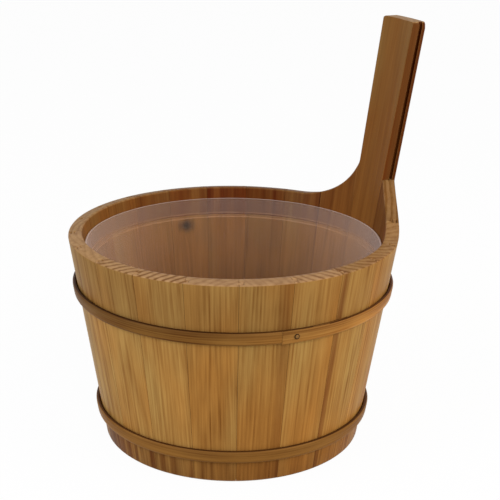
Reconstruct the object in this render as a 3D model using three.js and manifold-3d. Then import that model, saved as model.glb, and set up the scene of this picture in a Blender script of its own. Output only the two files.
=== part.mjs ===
// A coopered wooden sauna bucket: tongued staves round a board bottom, two bent wood hoops,
// one long stave that rises as the handle, and a frosted plastic liner that lifts out.
// Millimetres, +Z up, the handle towards +X, the base on Z = 0.
import * as THREE from 'three';
import { mergeVertices } from 'three/addons/utils/BufferGeometryUtils.js';
import Module from 'manifold-3d';

const wasm = await Module();
wasm.setup();

// Body of the bucket
const RIM_RADIUS = 130;
const BASE_RADIUS = 103.7;
const RIM_HEIGHT = 167;
const WALL = 11;
const FIT = 0.3;

// Staves, in degrees round the axis from the middle of the handle
const HANDLE_HALF_ANGLE = 9.1;
const LEFT_SHOULDER_END = 27;
const RIGHT_SHOULDER_END = -24.4;
const FRONT_STAVES = 8;
const FRONT_STAVE_ANGLE = 17.58;
const BACK_STAVES = 10;
const ARC_STEPS = 3;
const TURN_SEGMENTS = 60;
const PIN_SEGMENTS = 12;

// Tongue and groove on the stave edges
const GROOVE_DEPTH = 2.8;
const GROOVE_WIDTH = 2.8;
const GROOVE_FROM_INSIDE = 7.1;
const TONGUE_LENGTH = GROOVE_DEPTH - FIT;
const TONGUE_WIDTH = GROOVE_WIDTH - 2 * FIT;

// Handle, and the sweeps that run down from it to the rim
const HANDLE_HEIGHT = 326;
const HANDLE_CORNER = 2.5;
const LEFT_SWEEP = { side: 1, start: 84, reach: 66.5, rise: 55, ledge: 207 };
const RIGHT_SWEEP = { side: -1, start: 86.5, reach: 81, rise: 81, ledge: 200 };
const SWEEP_STEPS = 10;

// Bottom boards in the groove near the base
const BOARD_UNDERSIDE = 12;
const BOARD_THICKNESS = 9;
const CROZE_DEPTH = 4;
const BOARD_JOINT = 33;
const DOWEL_RADIUS = 2.5;
const DOWEL_LENGTH = 26;
const DOWEL_SPREAD = 45;

// Bent wood hoops with a scarfed lap
const HOOP_THICKNESS = 3.4;
const HOOP_HEIGHT = 10.6;
const HOOP_ROUNDING = 2.4;
const HOOP_SQUARE_SHARE = 0.45;
const HOOP_ROUND_STEPS = 2;
const HOOP_STEPS = 84;
const LAP_ANGLE = 26;
const LAP_TIP = 0.9;
const UPPER_HOOP = { bottom: 119.8, lapEnd: -98, nail: -93.1 };
const LOWER_HOOP = { bottom: 18.4, lapEnd: 96.6, nail: 101.5 };

// Nails that hold the laps
const NAIL_SHANK = 0.9;
const NAIL_HEAD = 2;
const NAIL_HEAD_THICKNESS = 0.7;
const NAIL_LENGTH = 10;

// Frosted liner
const LINER_TOP = 159.4;
const LINER_STEP_TOP = 146.7;
const LINER_STEP_BOTTOM = 143.9;
const LINER_WALL = 1.5;
const LINER_BAND_GAP = 0.8;
const LINER_BODY_GAP = 2.4;
const LINER_CORNER = 8;

// Values that follow from the driving dimensions
const TAPER = (RIM_RADIUS - BASE_RADIUS) / RIM_HEIGHT;
const BOARD_TOP = BOARD_UNDERSIDE + BOARD_THICKNESS;
const BOARD_RADIUS = innerRadius(BOARD_UNDERSIDE) + CROZE_DEPTH - FIT;
const FRONT_END = RIGHT_SHOULDER_END - FRONT_STAVES * FRONT_STAVE_ANGLE;
const BACK_STAVE_ANGLE = (360 + FRONT_END - LEFT_SHOULDER_END) / BACK_STAVES;
const HOOP_TURN = 360 + LAP_ANGLE;
const CUT_CLEAR = 60;

// Finishes
const STAVE_TONES = ['#a9793f', '#9b6a36', '#b3874a', '#a57440', '#8f6031'];
const HOOP_TONE = '#8a5d30';
const BOARD_TONE = '#b48a52';
const DOWEL_TONE = '#c7a26b';
const NAIL_TONE = '#6d5a40';
const LINER_TONE = '#c9c4cf';
const WOOD_ROUGHNESS = 0.55;
const NAIL_FINISH = { roughness: 0.4, metalness: 0.9 };
const LINER_FINISH = { roughness: 0.45, transparent: true, opacity: 0.6 };

function outerRadius(z) {
  return BASE_RADIUS + TAPER * z;
}

function innerRadius(z) {
  return outerRadius(z) - WALL;
}

function radians(degrees) {
  return THREE.MathUtils.degToRad(degrees);
}

function polar(radius, angle) {
  return new THREE.Vector2(radius * Math.cos(angle), radius * Math.sin(angle));
}

// Solids for joining and cutting
function toSolid(geometry) {
  const bare = geometry.clone();
  bare.deleteAttribute('normal');
  bare.deleteAttribute('uv');
  const merged = mergeVertices(bare, 1e-4);
  return new wasm.Manifold(new wasm.Mesh({
    numProp: 3,
    vertProperties: new Float32Array(merged.attributes.position.array),
    triVerts: new Uint32Array(merged.index.array),
  }));
}

function toGeometry(solid) {
  const mesh = solid.getMesh();
  const geometry = new THREE.BufferGeometry();
  geometry.setAttribute('position', new THREE.BufferAttribute(mesh.vertProperties, 3));
  geometry.setIndex(new THREE.BufferAttribute(mesh.triVerts, 1));
  geometry.computeVertexNormals();
  return geometry;
}

function cut(solid, cutters) {
  return cutters.reduce((rest, cutter) => rest.subtract(cutter), solid);
}

// Moves each point of a geometry by a function of its place
function reshape(geometry, move) {
  const position = geometry.attributes.position;
  const point = new THREE.Vector3();
  for (let i = 0; i < position.count; i += 1) {
    point.fromBufferAttribute(position, i);
    move(point);
    position.setXYZ(i, point.x, point.y, point.z);
  }
  return geometry;
}

// A stave's end section at the base: two arcs, a tongue on one edge and a groove on the other
function staveSection(from, to) {
  const halfGap = FIT / 2 / BASE_RADIUS;
  const start = radians(from) + halfGap;
  const end = radians(to) - halfGap;
  const inside = BASE_RADIUS - WALL;
  const middle = inside + GROOVE_FROM_INSIDE;
  const tongueTip = end + TONGUE_LENGTH / BASE_RADIUS;
  const grooveFloor = start + GROOVE_DEPTH / BASE_RADIUS;
  const points = [];
  for (let i = 0; i <= ARC_STEPS; i += 1) {
    points.push(polar(BASE_RADIUS, THREE.MathUtils.lerp(start, end, i / ARC_STEPS)));
  }
  points.push(polar(middle + TONGUE_WIDTH / 2, end));
  points.push(polar(middle + TONGUE_WIDTH / 2, tongueTip));
  points.push(polar(middle - TONGUE_WIDTH / 2, tongueTip));
  points.push(polar(middle - TONGUE_WIDTH / 2, end));
  for (let i = 0; i <= ARC_STEPS; i += 1) {
    points.push(polar(inside, THREE.MathUtils.lerp(end, start, i / ARC_STEPS)));
  }
  points.push(polar(middle - GROOVE_WIDTH / 2, start));
  points.push(polar(middle - GROOVE_WIDTH / 2, grooveFloor));
  points.push(polar(middle + GROOVE_WIDTH / 2, grooveFloor));
  points.push(polar(middle + GROOVE_WIDTH / 2, start));
  return new THREE.Shape(points);
}

// The section drawn up while it spreads outwards with the taper; its top is sawn square to its lean
function staveBlank(from, to, height) {
  const blank = new THREE.ExtrudeGeometry(staveSection(from, to), { depth: height, bevelEnabled: false });
  reshape(blank, (point) => {
    const base = Math.hypot(point.x, point.y);
    if (point.z > 0) point.z += TAPER * (BASE_RADIUS - base);
    const spread = 1 + (TAPER * point.z) / base;
    point.x *= spread;
    point.y *= spread;
  });
  return toSolid(blank);
}

// The groove inside the staves that holds the bottom boards
function crozeCutter() {
  const low = BOARD_UNDERSIDE - FIT;
  const high = BOARD_TOP + FIT;
  const inside = innerRadius(low) - CUT_CLEAR;
  const outside = BOARD_RADIUS + FIT;
  const profile = [
    new THREE.Vector2(inside, low),
    new THREE.Vector2(outside, low),
    new THREE.Vector2(outside, high),
    new THREE.Vector2(inside, high),
    new THREE.Vector2(inside, low),
  ];
  const turned = new THREE.LatheGeometry(profile, TURN_SEGMENTS);
  turned.rotateX(Math.PI / 2);
  return toSolid(turned);
}

// All the space above the rim, whose staves are sawn square to their lean
function aboveRim() {
  const inside = innerRadius(RIM_HEIGHT) - CUT_CLEAR;
  const outside = RIM_RADIUS + CUT_CLEAR;
  const sawnHeight = (radius) => RIM_HEIGHT + TAPER * (RIM_RADIUS - radius);
  const profile = [
    new THREE.Vector2(inside, sawnHeight(inside)),
    new THREE.Vector2(outside, sawnHeight(outside)),
    new THREE.Vector2(outside, HANDLE_HEIGHT),
    new THREE.Vector2(inside, HANDLE_HEIGHT),
    new THREE.Vector2(inside, sawnHeight(inside)),
  ];
  const turned = new THREE.LatheGeometry(profile, TURN_SEGMENTS);
  turned.rotateX(Math.PI / 2);
  return toSolid(turned);
}

// What is sawn away above the rim beside the handle, along a quarter of an ellipse up to a flat ledge
function sweepCutter({ side, start, reach, rise, ledge }) {
  const centre = RIM_HEIGHT + rise;
  const fullTurn = Math.acos((centre - ledge) / rise);
  const outline = [];
  for (let i = 0; i <= SWEEP_STEPS; i += 1) {
    const turn = (fullTurn * i) / SWEEP_STEPS;
    const across = start - reach * Math.sin(turn);
    outline.push(new THREE.Vector2(side * across, centre - rise * Math.cos(turn)));
  }
  outline.push(new THREE.Vector2(0, ledge));
  outline.push(new THREE.Vector2(0, HANDLE_HEIGHT));
  outline.push(new THREE.Vector2(side * RIM_RADIUS, HANDLE_HEIGHT));
  outline.push(new THREE.Vector2(side * RIM_RADIUS, RIM_HEIGHT));
  const sawn = new THREE.ExtrudeGeometry(new THREE.Shape(outline), {
    depth: 2 * RIM_RADIUS,
    bevelEnabled: false,
  });
  sawn.rotateX(Math.PI / 2);
  sawn.rotateZ(Math.PI / 2);
  return toSolid(sawn).intersect(aboveRim());
}

// All that is left of the handle below its level top, with the two top corners cut off
function handleTrim() {
  const middleRadius = outerRadius(HANDLE_HEIGHT) - WALL / 2;
  const flat = middleRadius * Math.sin(radians(HANDLE_HALF_ANGLE)) - HANDLE_CORNER;
  const side = HANDLE_HEIGHT - (CUT_CLEAR - flat);
  const outline = new THREE.Shape();
  outline.moveTo(-CUT_CLEAR, -CUT_CLEAR);
  outline.lineTo(CUT_CLEAR, -CUT_CLEAR);
  outline.lineTo(CUT_CLEAR, side);
  outline.lineTo(flat, HANDLE_HEIGHT);
  outline.lineTo(-flat, HANDLE_HEIGHT);
  outline.lineTo(-CUT_CLEAR, side);
  const prism = new THREE.ExtrudeGeometry(outline, { depth: 2 * RIM_RADIUS, bevelEnabled: false });
  prism.rotateX(Math.PI / 2);
  prism.rotateZ(Math.PI / 2);
  return toSolid(prism);
}

// A cylinder that points out from the bucket's axis at an angle and a height
function radialCylinder(radius, from, to, angle, z) {
  const rod = new THREE.CylinderGeometry(radius, radius, to - from, PIN_SEGMENTS);
  rod.rotateZ(Math.PI / 2);
  rod.translate((from + to) / 2, 0, 0);
  rod.rotateZ(radians(angle));
  rod.translate(0, 0, z);
  return toSolid(rod);
}

// How far a hoop's inner and outer faces stand off the staves, from its under end (0) to its over end (1)
function hoopLayer(along) {
  const lapShare = LAP_ANGLE / HOOP_TURN;
  const rise = (HOOP_THICKNESS - LAP_TIP) / lapShare;
  const over = along - (1 - lapShare);
  if (over <= 0) return { inner: 0, outer: Math.min(HOOP_THICKNESS, LAP_TIP + rise * along) };
  const inner = LAP_TIP + rise * over + FIT;
  return { inner, outer: Math.max(HOOP_THICKNESS, inner + LAP_TIP) };
}

// Height of a nail, and the radius where its head sits on the hoop
function nailPlace({ bottom, lapEnd, nail }) {
  const z = bottom + HOOP_HEIGHT / 2;
  const along = 1 - (nail - lapEnd) / HOOP_TURN;
  return { z, seat: outerRadius(z) + FIT + hoopLayer(along).outer + FIT };
}

function nailHole(hoop) {
  const { z, seat } = nailPlace(hoop);
  return radialCylinder(NAIL_SHANK + FIT, seat - NAIL_LENGTH - FIT, seat + WALL, hoop.nail, z);
}

// A hoop's cross section, drawn one unit thick: flat behind, with its two outer edges rounded
function hoopSection() {
  const round = [];
  for (let i = 0; i <= HOOP_ROUND_STEPS; i += 1) {
    const turn = ((Math.PI / 2) * i) / HOOP_ROUND_STEPS;
    const out = HOOP_SQUARE_SHARE + (1 - HOOP_SQUARE_SHARE) * Math.sin(turn);
    round.push(new THREE.Vector2(out, HOOP_ROUNDING * (1 - Math.cos(turn))));
  }
  const upper = round.toReversed().map((point) => new THREE.Vector2(point.x, HOOP_HEIGHT - point.y));
  return new THREE.Shape([new THREE.Vector2(0, 0), ...round, ...upper, new THREE.Vector2(0, HOOP_HEIGHT)]);
}

// A strip bent once round the staves; its two ends thin out and lie over each other in the lap
function hoopSolid(hoop) {
  const strip = new THREE.ExtrudeGeometry(hoopSection(), {
    depth: 1,
    steps: HOOP_STEPS,
    bevelEnabled: false,
  });
  reshape(strip, (point) => {
    const { inner, outer } = hoopLayer(point.z);
    const z = hoop.bottom + point.y;
    const radius = outerRadius(z) + FIT + THREE.MathUtils.lerp(inner, outer, point.x);
    const angle = radians(hoop.lapEnd + HOOP_TURN * (1 - point.z));
    point.set(radius * Math.cos(angle), radius * Math.sin(angle), z);
  });
  return toSolid(strip);
}

// A round headed nail, driven in from outside
function nailGeometry(hoop) {
  const { z, seat } = nailPlace(hoop);
  const profile = [
    new THREE.Vector2(0, -NAIL_LENGTH),
    new THREE.Vector2(NAIL_SHANK, -NAIL_LENGTH + 2 * NAIL_SHANK),
    new THREE.Vector2(NAIL_SHANK, 0),
    new THREE.Vector2(NAIL_HEAD, 0),
    new THREE.Vector2(NAIL_HEAD, NAIL_HEAD_THICKNESS / 2),
    new THREE.Vector2(NAIL_HEAD / 2, NAIL_HEAD_THICKNESS),
    new THREE.Vector2(0, NAIL_HEAD_THICKNESS),
  ];
  const turned = new THREE.LatheGeometry(profile, PIN_SEGMENTS);
  turned.rotateZ(-Math.PI / 2);
  turned.translate(seat, 0, 0);
  turned.rotateZ(radians(hoop.nail));
  turned.translate(0, 0, z);
  return turned;
}

// One board of the round bottom, between two lines across it
function boardSolid(from, to) {
  const middleHeight = BOARD_UNDERSIDE + BOARD_THICKNESS / 2;
  const disc = new THREE.CylinderGeometry(BOARD_RADIUS, BOARD_RADIUS, BOARD_THICKNESS, TURN_SEGMENTS);
  disc.rotateX(Math.PI / 2);
  disc.translate(0, 0, middleHeight);
  const strip = new THREE.BoxGeometry(2 * RIM_RADIUS, to - from, 2 * BOARD_THICKNESS);
  strip.translate(0, (from + to) / 2, middleHeight);
  return toSolid(disc).intersect(toSolid(strip));
}

// A pin lying across a joint between two bottom boards
function dowelGeometry(x, y, spare) {
  const radius = DOWEL_RADIUS + spare;
  const pin = new THREE.CylinderGeometry(radius, radius, DOWEL_LENGTH + 2 * spare, PIN_SEGMENTS);
  pin.translate(x, y, BOARD_UNDERSIDE + BOARD_THICKNESS / 2);
  return pin;
}

// The liner's wall, up the outside, over the edge and down the inside to the axis
function linerGeometry() {
  const floor = BOARD_TOP + FIT;
  const bodyRadius = (z) => innerRadius(z) - LINER_BODY_GAP;
  const bandRadius = (z) => innerRadius(z) - LINER_BAND_GAP;
  const corner = floor + LINER_CORNER;
  const profile = [new THREE.Vector2(0, floor)];
  const addCorner = (radius, turns) => {
    for (const turn of turns) {
      const angle = radians(turn);
      const x = bodyRadius(corner) - LINER_CORNER + radius * Math.sin(angle);
      profile.push(new THREE.Vector2(x, corner - radius * Math.cos(angle)));
    }
  };
  const quarter = [0, 30, 60, 90];
  addCorner(LINER_CORNER, quarter);
  profile.push(new THREE.Vector2(bodyRadius(LINER_STEP_BOTTOM), LINER_STEP_BOTTOM));
  profile.push(new THREE.Vector2(bandRadius(LINER_STEP_TOP), LINER_STEP_TOP));
  profile.push(new THREE.Vector2(bandRadius(LINER_TOP), LINER_TOP));
  profile.push(new THREE.Vector2(bandRadius(LINER_TOP) - LINER_WALL, LINER_TOP));
  profile.push(new THREE.Vector2(bandRadius(LINER_STEP_TOP) - LINER_WALL, LINER_STEP_TOP));
  profile.push(new THREE.Vector2(bodyRadius(LINER_STEP_BOTTOM) - LINER_WALL, LINER_STEP_BOTTOM));
  addCorner(LINER_CORNER - LINER_WALL, quarter.toReversed());
  profile.push(new THREE.Vector2(0, floor + LINER_WALL));
  const turned = new THREE.LatheGeometry(profile, TURN_SEGMENTS);
  turned.rotateX(Math.PI / 2);
  return turned;
}

// Assembly
const bucket = new THREE.Group();

function addPiece(name, geometry, color, finish = {}) {
  const material = new THREE.MeshStandardMaterial({
    color,
    roughness: WOOD_ROUGHNESS,
    metalness: 0,
    ...finish,
  });
  const piece = new THREE.Mesh(geometry, material);
  piece.name = name;
  bucket.add(piece);
}

const croze = crozeCutter();
const sweeps = [sweepCutter(LEFT_SWEEP), sweepCutter(RIGHT_SWEEP)];
const nailHoles = [nailHole(UPPER_HOOP), nailHole(LOWER_HOOP)];

// Staves beside the handle are long enough to be sawn along the sweep
const SWEPT_BLANK = HANDLE_HEIGHT - CUT_CLEAR;

function addStave(name, from, to, tone, swept) {
  const blank = staveBlank(from, to, swept ? SWEPT_BLANK : RIM_HEIGHT);
  const cutters = swept ? [croze, ...nailHoles, ...sweeps] : [croze, ...nailHoles];
  addPiece(name, toGeometry(cut(blank, cutters)), STAVE_TONES[tone % STAVE_TONES.length]);
}

const handleBlank = staveBlank(-HANDLE_HALF_ANGLE, HANDLE_HALF_ANGLE, HANDLE_HEIGHT + WALL);
const handle = handleBlank.intersect(handleTrim()).subtract(croze);
addPiece('handle_stave', toGeometry(handle), STAVE_TONES[1]);
addStave('left_shoulder_stave', HANDLE_HALF_ANGLE, LEFT_SHOULDER_END, 0, true);
addStave('right_shoulder_stave', RIGHT_SHOULDER_END, -HANDLE_HALF_ANGLE, 2, true);

for (let i = 0; i < FRONT_STAVES; i += 1) {
  const to = RIGHT_SHOULDER_END - i * FRONT_STAVE_ANGLE;
  addStave(`front_stave_${i + 1}`, to - FRONT_STAVE_ANGLE, to, i, i === 0);
}
for (let i = 0; i < BACK_STAVES; i += 1) {
  const to = FRONT_END - i * BACK_STAVE_ANGLE;
  addStave(`back_stave_${i + 1}`, to - BACK_STAVE_ANGLE, to, i + 3, i === BACK_STAVES - 1);
}

addPiece('upper_hoop', toGeometry(cut(hoopSolid(UPPER_HOOP), nailHoles)), HOOP_TONE);
addPiece('lower_hoop', toGeometry(cut(hoopSolid(LOWER_HOOP), nailHoles)), HOOP_TONE);
addPiece('upper_hoop_nail', nailGeometry(UPPER_HOOP), NAIL_TONE, NAIL_FINISH);
addPiece('lower_hoop_nail', nailGeometry(LOWER_HOOP), NAIL_TONE, NAIL_FINISH);

const dowelPlaces = [];
for (const y of [-BOARD_JOINT, BOARD_JOINT]) {
  for (const x of [-DOWEL_SPREAD, DOWEL_SPREAD]) {
    dowelPlaces.push([x, y]);
  }
}
const dowelHoles = dowelPlaces.map(([x, y]) => toSolid(dowelGeometry(x, y, FIT)));
const boardEdges = [
  ['bottom_board_right', -BOARD_RADIUS, -BOARD_JOINT - FIT / 2],
  ['bottom_board_middle', -BOARD_JOINT + FIT / 2, BOARD_JOINT - FIT / 2],
  ['bottom_board_left', BOARD_JOINT + FIT / 2, BOARD_RADIUS],
];
for (const [name, from, to] of boardEdges) {
  addPiece(name, toGeometry(cut(boardSolid(from, to), dowelHoles)), BOARD_TONE);
}
dowelPlaces.forEach(([x, y], i) => {
  addPiece(`bottom_dowel_${i + 1}`, dowelGeometry(x, y, 0), DOWEL_TONE);
});

addPiece('liner', linerGeometry(), LINER_TONE, LINER_FINISH);

// The origin is under the middle of the whole bucket, handle included
const middle = new THREE.Box3().setFromObject(bucket).getCenter(new THREE.Vector3());
bucket.position.set(-middle.x, -middle.y, 0);

const saunaBucket = new THREE.Group();
saunaBucket.add(bucket);

export default saunaBucket;
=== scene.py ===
# %% [markdown]
# # A coopered sauna bucket
# A sauna bucket is a small barrel: staves with tongues and grooves stand round a board bottom, two
# bent wood hoops hold them, one long stave is the handle, and a frosted liner keeps the water.
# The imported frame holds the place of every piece, so it is loaded first and never moved.

# %% Load the frame
import math
import random

import bmesh
import bpy
from mathutils import Matrix, Vector


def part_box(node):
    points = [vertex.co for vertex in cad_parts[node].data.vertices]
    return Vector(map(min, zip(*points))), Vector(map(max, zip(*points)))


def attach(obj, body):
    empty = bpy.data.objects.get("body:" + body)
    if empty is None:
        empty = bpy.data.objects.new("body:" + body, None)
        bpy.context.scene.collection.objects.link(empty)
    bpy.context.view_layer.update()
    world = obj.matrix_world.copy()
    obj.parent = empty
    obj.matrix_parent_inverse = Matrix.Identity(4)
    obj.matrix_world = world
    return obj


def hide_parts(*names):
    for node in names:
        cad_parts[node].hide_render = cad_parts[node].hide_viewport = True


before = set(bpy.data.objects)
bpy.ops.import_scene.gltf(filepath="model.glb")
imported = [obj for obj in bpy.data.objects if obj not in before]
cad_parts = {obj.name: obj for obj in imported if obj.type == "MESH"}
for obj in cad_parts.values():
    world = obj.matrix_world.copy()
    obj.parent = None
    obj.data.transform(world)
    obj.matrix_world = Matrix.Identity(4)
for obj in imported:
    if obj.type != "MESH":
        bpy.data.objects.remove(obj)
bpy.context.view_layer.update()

# %% [markdown]
# ## Sizes
# A cooper works from a few sizes: the rim, the base and the wall. Heights that the boxes of the frame's
# nodes show, and the axis of the bucket, are read from them, because they are exact there. What a box
# can't tell is written here in millimetres and turned into metres.

# %% Sizes of the bucket
MM = 0.001
MERGE = 0.01 * MM
FIT = 0.3 * MM
RIM_RADIUS = 130 * MM
BASE_RADIUS = 103.7 * MM
WALL = 11 * MM
INSIDE_RADIUS = BASE_RADIUS - WALL
RIM_HEIGHT = 167 * MM
TAPER = (RIM_RADIUS - BASE_RADIUS) / RIM_HEIGHT

board_low, board_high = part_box("bottom_board_middle")
AXIS = Vector(((board_low.x + board_high.x) / 2, (board_low.y + board_high.y) / 2, 0))


def polar(radius, angle, height=0.0):
    """A point round the bucket's own axis."""
    return Vector((radius * math.cos(angle), radius * math.sin(angle), height))


def angle_of(point):
    """Angle of a point round the axis."""
    return math.atan2(point.y, point.x)


def outer_radius(height):
    """Radius of the staves' outside at a height."""
    return BASE_RADIUS + TAPER * height


print(f"rim {2 * RIM_RADIUS / MM:.0f} mm across and {RIM_HEIGHT / MM:.0f} mm high, axis at {AXIS}")

# %% [markdown]
# ## Camera
# The photograph looks a little down into the bucket, from about a metre away, with the handle behind
# on the right. A camera could be aimed by eye, but the rim, the base and the hoops are all circles,
# so their ellipses give its distance, its height and its aim, and those measured values stand here.

# %% Camera at the photograph's angle
LENS_MM = 88.3
SENSOR_MM = 36
CAMERA_DISTANCE = 971.7 * MM
CAMERA_ELEVATION = math.radians(17.52)
PHOTO_TURN = math.radians(-24.16)
AIM_RIGHT = math.radians(0.771)
AIM_UP = math.radians(-0.953)
CAMERA_ROLL = math.radians(0.764)

photo_right = polar(1, PHOTO_TURN)
photo_away = polar(1, PHOTO_TURN + math.pi / 2)
upright = Vector((0, 0, 1))
rim_centre = AXIS + upright * RIM_HEIGHT


def camera_matrix():
    """Place and turn of the camera: it stands back from the rim's centre and looks just beside it."""
    back = math.cos(CAMERA_ELEVATION) * photo_away - math.sin(CAMERA_ELEVATION) * upright
    lift = photo_right.cross(back)
    forward = (back + math.tan(AIM_RIGHT) * photo_right + math.tan(AIM_UP) * lift).normalized()
    right = forward.cross(upright).normalized()
    up = right.cross(forward)
    rolled_right = math.cos(CAMERA_ROLL) * right + math.sin(CAMERA_ROLL) * up
    rolled_up = math.cos(CAMERA_ROLL) * up - math.sin(CAMERA_ROLL) * right
    turn = Matrix((rolled_right, rolled_up, -forward)).transposed().to_4x4()
    return Matrix.Translation(rim_centre - CAMERA_DISTANCE * back) @ turn


camera_data = bpy.data.cameras.new("photo_camera")
camera_data.lens = LENS_MM
camera_data.sensor_width = SENSOR_MM
camera = bpy.data.objects.new("photo_camera", camera_data)
camera.matrix_world = camera_matrix()
bpy.context.collection.objects.link(camera)
bpy.context.scene.camera = camera
print("camera at", [round(value, 3) for value in camera.location])

# %% [markdown]
# ## Colours and shader nodes
# Colours are picked as sRGB hex values, as a paint chart gives them, and one function makes them
# linear for the shader. Node trees could be drawn by hand in the editor; here one small function adds
# a node, sets it and links it, so that each material below reads as a short recipe.

# %% Colour and node helpers


def linear(hex_colour):
    """An sRGB hex colour as the linear colour that shaders work in."""
    channels = [int(hex_colour[i:i + 2], 16) / 255 for i in (1, 3, 5)]
    return (*[c / 12.92 if c <= 0.04045 else ((c + 0.055) / 1.055) ** 2.4 for c in channels], 1)


def add_node(tree, kind, inputs=None, **settings):
    """Adds a shader node; an input is a value to set, or a node or a socket to link, by name or number."""
    node = tree.nodes.new(f"ShaderNode{kind}")
    for name, value in settings.items():
        setattr(node, name, value)
    for key, value in (inputs or {}).items():
        if isinstance(value, bpy.types.Node):
            value = next(socket for socket in value.outputs if socket.enabled)
        if isinstance(value, bpy.types.NodeSocket):
            tree.links.new(value, node.inputs[key])
        else:
            node.inputs[key].default_value = value
    return node


def new_material(name):
    """An empty material, and its node tree."""
    material = bpy.data.materials.new(name)
    material.use_nodes = True
    material.node_tree.nodes.clear()
    return material, material.node_tree


# Input sockets of the Mix node's colour form
MIX_SHARE, MIX_A, MIX_B = 0, 6, 7

print("a middle grey is", round(linear("#808080")[0], 3), "in linear light")

# %% [markdown]
# ## Wood
# The staves are softwood, planed and oiled: straight grain, a satin face, and year rings that show as
# fine lines along the face and as slanting stripes on the sawn ends. A flat noise would look the same
# on every side, so each piece carries its own place in the log instead. The attribute "grain" holds
# the distance from the pith across and in depth, and the length along the trunk; rings are then
# simply circles round the pith, and they run through the faces and the ends alike. Growth bends them,
# a knot draws them aside, and some years grow darker than others.
# Soft patterns lie over the rings. Each has a real size across the grain and along it; the fibres are
# drawn a little coarser than real ones, so that they show at this distance.

# %% Soft patterns and year rings
PATTERN_SIZES = {
    "growth": (26 * MM, 260 * MM),
    "fibres": (1.2 * MM, 45 * MM),
    "streaks": (4.5 * MM, 110 * MM),
    "clouds": (12 * MM, 40 * MM),
    "warmth": (32 * MM, 110 * MM),
}
GROWTH_BEND = 7 * MM
KNOT_BEND = 7 * MM
KNOT_FADE = 0.5
YEAR_DARKENS = 0.2
YEAR_DARKEST = 0.85
CLOUD_REACH = 0.2
FAINTEST_LINE = 0.2
STRONGEST_LINE = 1.3


def soft_patterns(tree, grain):
    """Noise between -0.5 and 0.5 for each pattern."""
    soft = {}
    for pattern, (across, along) in PATTERN_SIZES.items():
        fineness = (1 / across, 1 / across, 1 / along)
        place = add_node(tree, "VectorMath", {0: grain, 1: fineness}, operation="MULTIPLY")
        noise = add_node(tree, "TexNoise", {"Vector": place, "Scale": 1, "Detail": 2})
        soft[pattern] = add_node(tree, "Math", {0: noise, 1: 0.5}, operation="SUBTRACT")
    return soft


def year_rings(tree, grain, knot_far, soft, ring_width):
    """The years counted from the pith, how much of a place is late wood, and its line on a face."""
    flat = add_node(tree, "VectorMath", {0: grain, 1: (1, 1, 0)}, operation="MULTIPLY")
    pith = add_node(tree, "VectorMath", {0: flat}, operation="LENGTH")
    grown = add_node(tree, "Math", {0: soft["growth"], 1: GROWTH_BEND, 2: pith}, operation="MULTIPLY_ADD")
    knot_pull = add_node(tree, "Math", {0: KNOT_FADE, 1: knot_far}, operation="POWER")
    drawn = add_node(tree, "Math", {0: knot_pull, 1: KNOT_BEND, 2: grown}, operation="MULTIPLY_ADD")
    years = add_node(tree, "Math", {0: drawn, 1: ring_width}, operation="DIVIDE")
    season = add_node(tree, "Math", {0: years}, operation="FRACT")
    darkening = add_node(
        tree, "MapRange", {0: season, 1: YEAR_DARKENS, 2: YEAR_DARKEST}, interpolation_type="SMOOTHSTEP"
    )
    winter = add_node(tree, "MapRange", {0: season, 1: 1.0, 2: YEAR_DARKEST})
    late_wood = add_node(tree, "Math", {0: darkening, 1: winter}, operation="MULTIPLY")
    year = add_node(tree, "Math", {0: years}, operation="FLOOR")
    year_tone = add_node(tree, "TexWhiteNoise", {"W": year}, noise_dimensions="1D")
    ring = add_node(tree, "Math", {0: late_wood, 1: year_tone}, operation="MULTIPLY")
    broken = add_node(tree, "MapRange", {
        0: soft["clouds"], 1: -CLOUD_REACH, 2: CLOUD_REACH, 3: FAINTEST_LINE, 4: STRONGEST_LINE,
    })
    line = add_node(tree, "Math", {0: ring, 1: broken}, operation="MULTIPLY")
    return years, late_wood, line


print("soft patterns in the wood:", ", ".join(PATTERN_SIZES))

# %% [markdown]
# ## Colours of the wood
# Real oiled wood is built up in layers, and the colour is mixed in the same order: pale early wood,
# redder in places, then late wood, a dark band, the knot, and at last the oil and the painted shade,
# which darken what is under it. One picture of wood could show all that too, but it would end at the
# edges of a face. The other attributes of the vertices say where: "look" holds the tone of the piece,
# its dark band, which is heartwood and dark joints on the staves and a painted darker upper half on the
# hoops, and the strength of its rings, "knot" the distance from a knot, and "warmth" how red the wood
# is. Faces carry four more: one is how dark they are painted, with oil and with painted shade, "soak"
# how unevenly the oil went in, "ends" how much of a face is bare end grain, and "stripes" how strong
# the rings are there.

# %% Planed faces and sawn ends
KNOT_COLOUR = "#3a3024"
LINE_WEIGHT = 0.5
PATTERN_WEIGHTS = {"fibres": 1.1, "streaks": 0.5, "clouds": 0.55}
PLAIN_DARKNESS = 0.25
WARMTH_REACH = 0.2
KNOT_RAGGED = 1.5
KNOT_OUTSIDE = 1.6
KNOT_INSIDE = 0.1
SOAK_CONTRAST = 5.0
STRIPE_STARTS = 0.35
STRIPE_DARKEST = 0.9
END_DARKNESS = 0.15


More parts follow.
